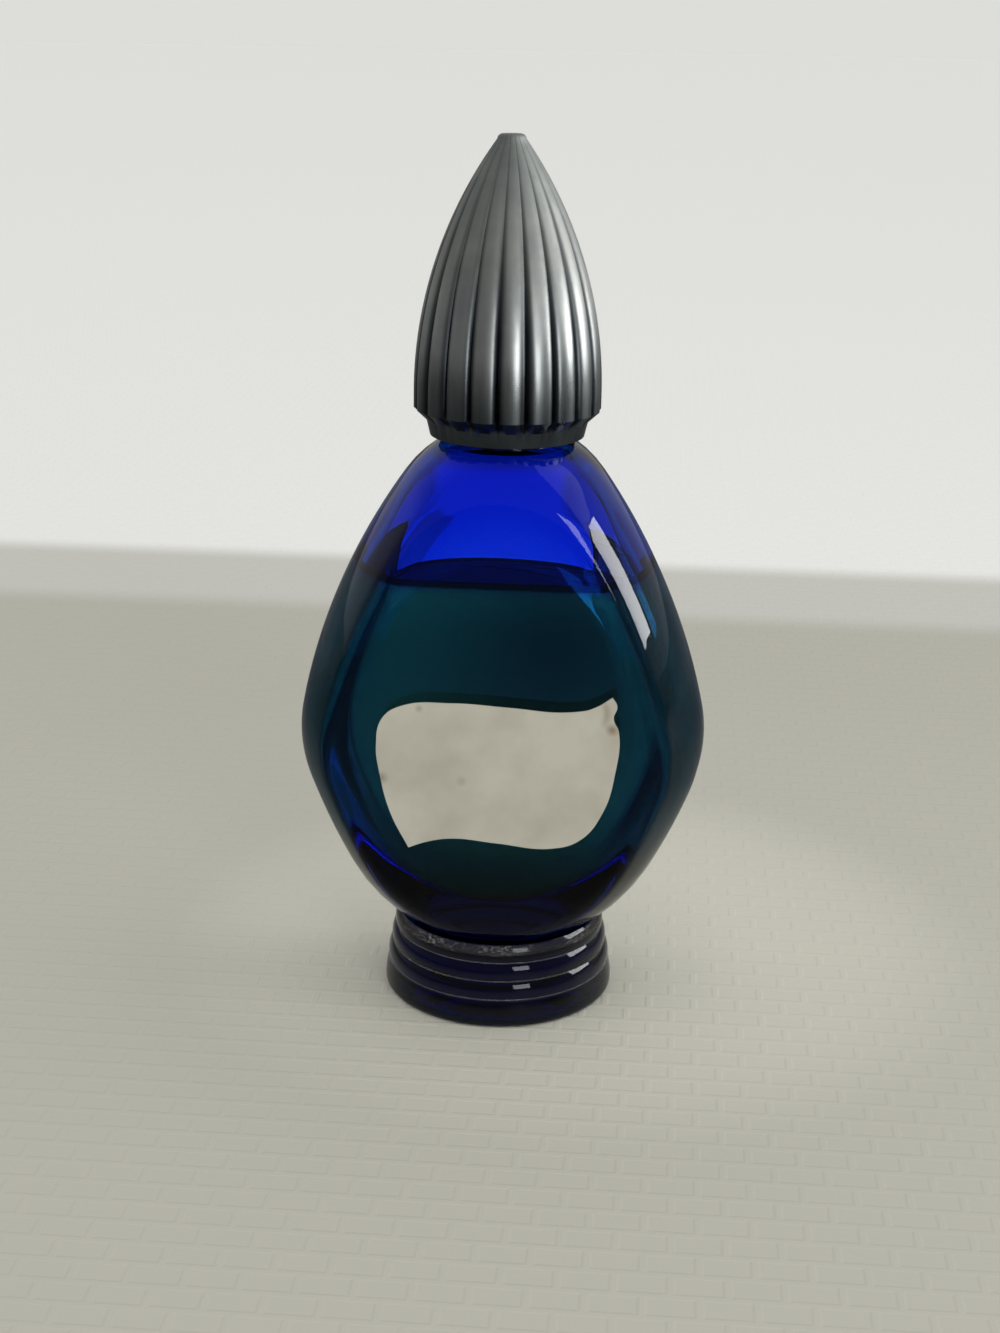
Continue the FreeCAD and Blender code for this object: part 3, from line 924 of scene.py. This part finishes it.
def makeFloor():
    look = stageLook
    bm = bmesh.new()
    bmesh.ops.create_grid(bm, x_segments=1, y_segments=1, size=look["size"] / 2)
    floor = toObject(bm, "tableTop")
    material, tree, shader = newMaterial("paleTable", Roughness=look["roughness"])
    place = placeOf(tree)
    path = tree.nodes.new("ShaderNodeLightPath").outputs
    # lighter near the foot, where the bottle takes the room's light away
    spread = vectorMaths(tree, "DISTANCE", "Value", place, look["tableAt"])
    colour = ramp(tree, spread, look["table"])
    back = alongAxis(tree, place, "Y")
    for edge, far in ((look["trimY"], look["trim"]), (look["cardY"], look["card"])):
        fade = mapRange(tree, back, edge - look["soft"], edge + look["soft"], curve="SMOOTHSTEP")
        colour = mixColours(tree, fade, colour, opaque(far))
    # the bottle's shade on the table, as it shows through the glass
    reach = tree.nodes.new("ShaderNodeMapping")
    reach.vector_type = "TEXTURE"
    for key, value in (("Vector", place), ("Location", look["shadeAt"]), ("Scale", look["shadeSize"])):
        feed(tree, value, reach.inputs[key])
    length = vectorMaths(tree, "LENGTH", "Value", reach.outputs["Vector"])
    shade = mapRange(tree, length, 0.0, 1.0, look["shadeTone"], 1.0, "SMOOTHSTEP")
    colour = mixColours(tree, path["Is Transmission Ray"], colour, shade, "MULTIPLY")
    # the table mirrors darker away from the foot; a refracted ray counts as glossy too
    near = ramp(tree, vectorMaths(tree, "LENGTH", "Value", place), greys(look["mirrored"]))
    onlyMirrored = maths(tree, "SUBTRACT", path["Is Glossy Ray"], path["Is Transmission Ray"], clamp=True)
    colour = mixColours(tree, onlyMirrored, colour, near, "MULTIPLY")
    tree.links.new(colour, shader.inputs["Base Color"])
    weave = newNode(tree, "ShaderNodeTexBrick", Vector=place, **look["brick"])
    addBump(tree, shader, weave.outputs["Fac"], *look["bump"])
    floor.data.materials.append(material)


makeFloor()

# the room lights evenly, shows pale behind the glass, and mirrors dark in front of it
roomLook = {
    "light": (0.93, 0.93, 0.93), "seen": (0.722, 0.723, 0.697),
    "mirrored": ((0.0, 0.16), (0.15, 0.17), (0.4, 0.2), (0.65, 0.25), (1.0, 0.42)),
}


def makeRoom():
    look = roomLook
    world = bpy.data.worlds.new("room")
    bpy.context.scene.world = world
    world.use_nodes = True
    tree = world.node_tree
    level = mapRange(tree, alongAxis(tree, placeOf(tree, "Generated"), "Y"), -1.0, 1.0)
    mirrored = ramp(tree, level, greys(look["mirrored"]))
    path = tree.nodes.new("ShaderNodeLightPath").outputs
    seen = maths(tree, "MAXIMUM", path["Is Camera Ray"], path["Is Transmission Ray"])
    colour = mixColours(tree, path["Is Glossy Ray"], opaque(look["light"]), mirrored)
    colour = mixColours(tree, seen, colour, opaque(look["seen"]))
    tree.links.new(colour, tree.nodes["Background"].inputs["Color"])


makeRoom()
print("table and room made")


def aimAt(holder, at, aim):
    holder.location = at
    holder.rotation_euler = (Vector(aim) - Vector(at)).to_track_quat("-Z", "Y").to_euler()
    bpy.context.scene.collection.objects.link(holder)


lampLooks = {
    "window": {"at": (0.25, -0.47, 0.15), "aim": (0, 0, 0.07), "size": (0.16, 0.19), "watts": 0.6, "lights": True},
    "sidePane": {"at": (0.46, 0.06, 0.16), "aim": (0, 0, 0.05), "size": (0.22, 0.15), "watts": 1.0, "lights": False},
}
for name, look in lampLooks.items():
    lamp = bpy.data.lights.new(name, "AREA")
    lamp.shape = "RECTANGLE"
    lamp.size, lamp.size_y = look["size"]
    lamp.energy = look["watts"]
    holder = bpy.data.objects.new(name, lamp)
    holder.visible_diffuse = look["lights"]  # a pane that is only mirrored
    aimAt(holder, look["at"], look["aim"])

sunLook = {"from": (0.75, 0.05, 0.75), "strength": 0.35, "spread": 50}
sun = bpy.data.lights.new("daylight", "SUN")
sun.energy = sunLook["strength"]
sun.angle = math.radians(sunLook["spread"])
aimAt(bpy.data.objects.new("daylight", sun), sunLook["from"], (0, 0, 0))

cameraLook = {
    "azimuth": 4.32, "distance": 0.2006, "height": 0.1015, "pitch": 18.07, "roll": 0.96, "lens": 54.0,
    "sensor": 36.0, "shift": -0.0024, "nearest": 0.01,
}


def makeCamera():
    look = cameraLook
    lens = bpy.data.cameras.new("camera")
    lens.lens = look["lens"]
    lens.sensor_width = look["sensor"]
    lens.shift_x = look["shift"]
    lens.clip_start = look["nearest"]
    camera = bpy.data.objects.new("camera", lens)
    bpy.context.scene.collection.objects.link(camera)
    turn, pitch, roll = (math.radians(look[key]) for key in ("azimuth", "pitch", "roll"))
    away = look["distance"]
    place = Matrix.Translation((away * math.sin(turn), -away * math.cos(turn), look["height"]))
    aim = Matrix.Rotation(turn, 4, "Z") @ Matrix.Rotation(math.pi / 2 - pitch, 4, "X")
    camera.matrix_world = place @ aim @ Matrix.Rotation(roll, 4, "Z")
    bpy.context.scene.camera = camera


makeCamera()
bpy.context.scene.view_settings.view_transform = "Standard"
print("lamps and camera made")

bpy.context.view_layer.update()
